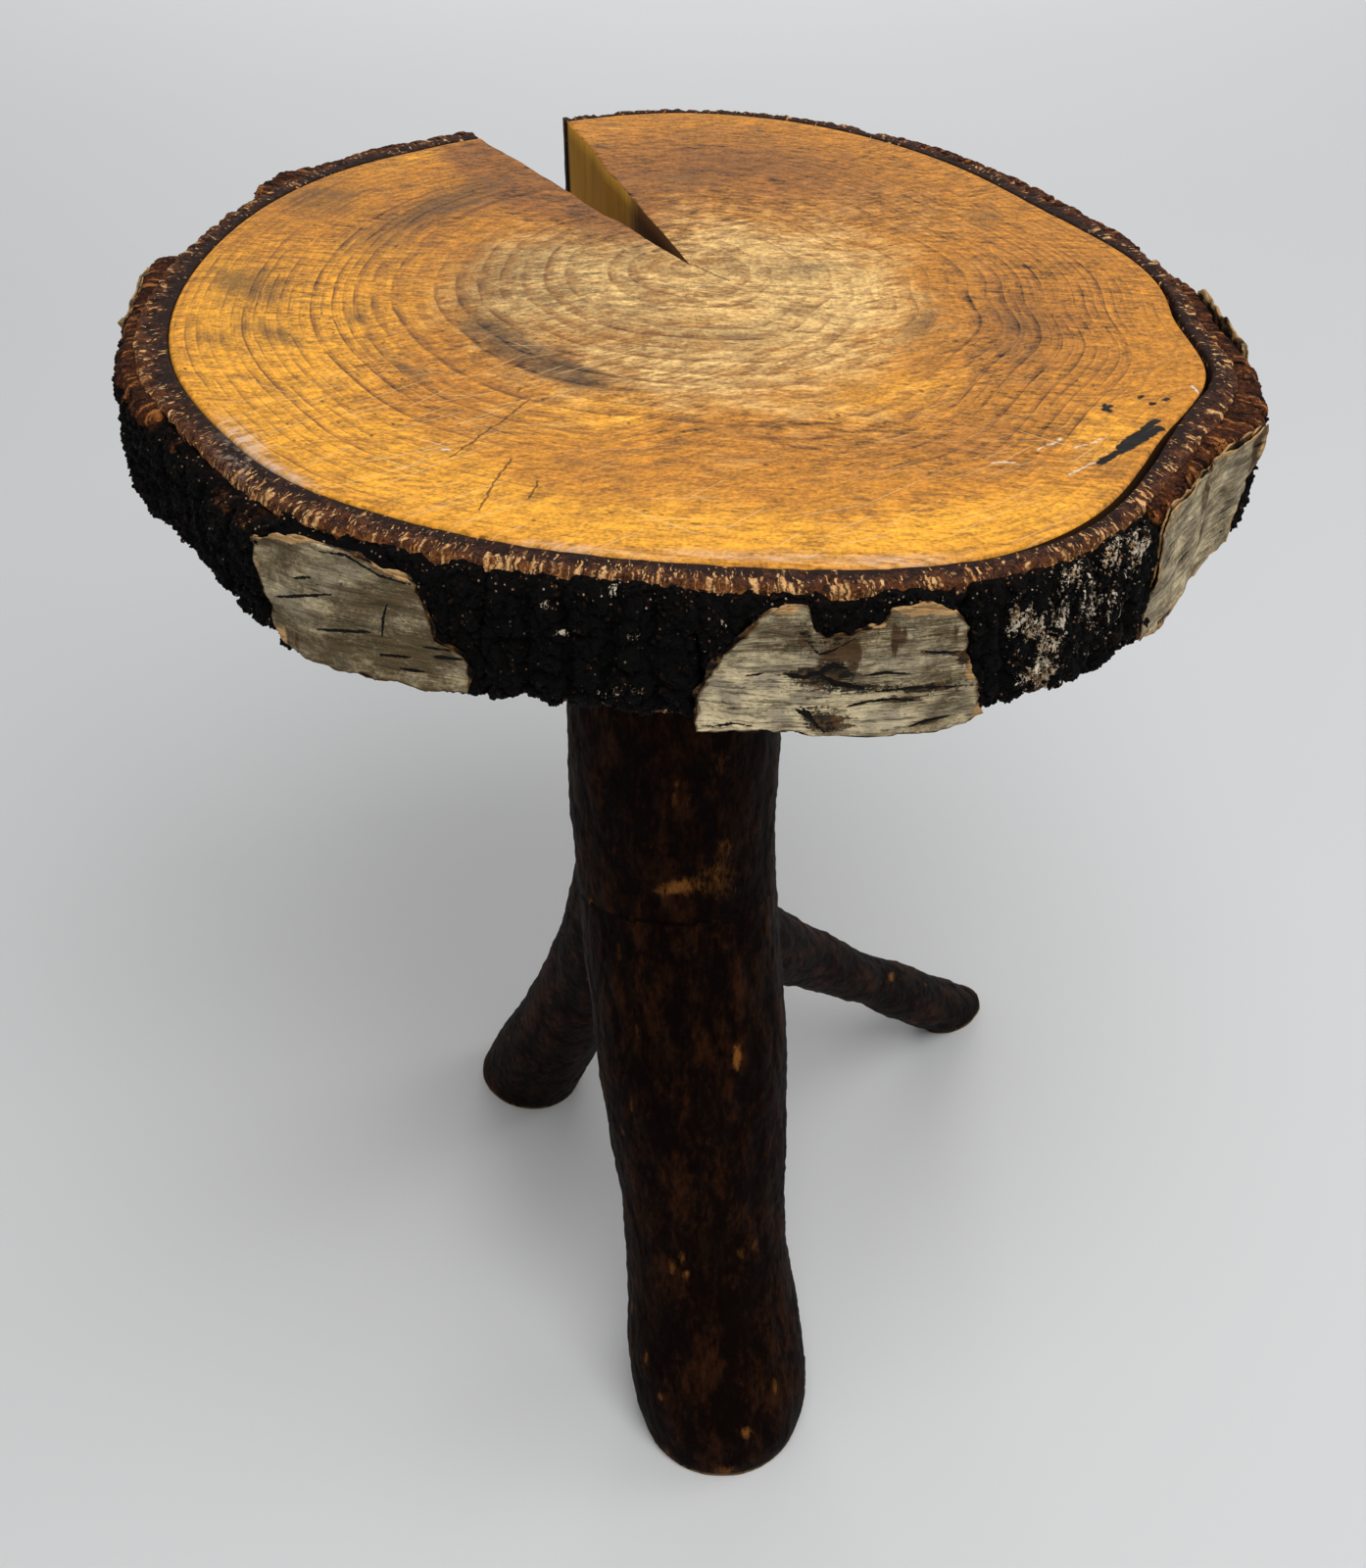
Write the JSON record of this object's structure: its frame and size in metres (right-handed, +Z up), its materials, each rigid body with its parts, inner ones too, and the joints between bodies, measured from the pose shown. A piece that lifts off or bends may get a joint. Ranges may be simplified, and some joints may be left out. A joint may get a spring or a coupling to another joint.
{
  "type": "tree trunk side table",
  "caption": "Rustic side table: a thick round trunk slice with its bark on and an open drying check, carried by an upturned natural fork whose limbs are the legs.",
  "frame": {"origin": "on the floor, under the middle of the table top's outline", "axes": "+Z up, -Y towards the thick front leg, +X to the right of someone who faces that leg"},
  "size_m": [0.3641, 0.3508, 0.43],
  "materials": {
    "slab_wood": "sanded and oiled, satin",
    "inner_bark": "raw, sawn",
    "cork_bark": "raw, rough",
    "white_bark": "raw, papery",
    "limb_bark": "stained bark, satin",
    "dowel_wood": "turned, bare"
  },
  "bodies": {
    "root": {"top_slab": "slab_wood", "inner_bark_ring": "inner_bark", "cork_plate_back_right": "cork_bark", "cork_plate_back": "cork_bark", "cork_plate_back_left": "cork_bark", "cork_plate_left": "cork_bark", "cork_plate_left_front": "cork_bark", "cork_plate_front_left": "cork_bark", "cork_plate_front": "cork_bark", "cork_plate_front_right": "cork_bark", "cork_plate_right_front": "cork_bark", "cork_plate_right": "cork_bark", "cork_plate_right_rear": "cork_bark", "white_bark_left": "white_bark", "white_bark_front_left": "white_bark", "white_bark_front_right": "white_bark", "white_bark_right": "white_bark", "white_bark_right_rear": "white_bark", "main_stem": "limb_bark", "rear_left_leg": "limb_bark", "rear_right_leg": "limb_bark", "centre_dowel": "dowel_wood", "side_dowels": "dowel_wood"}
  },
  "joints": []
}
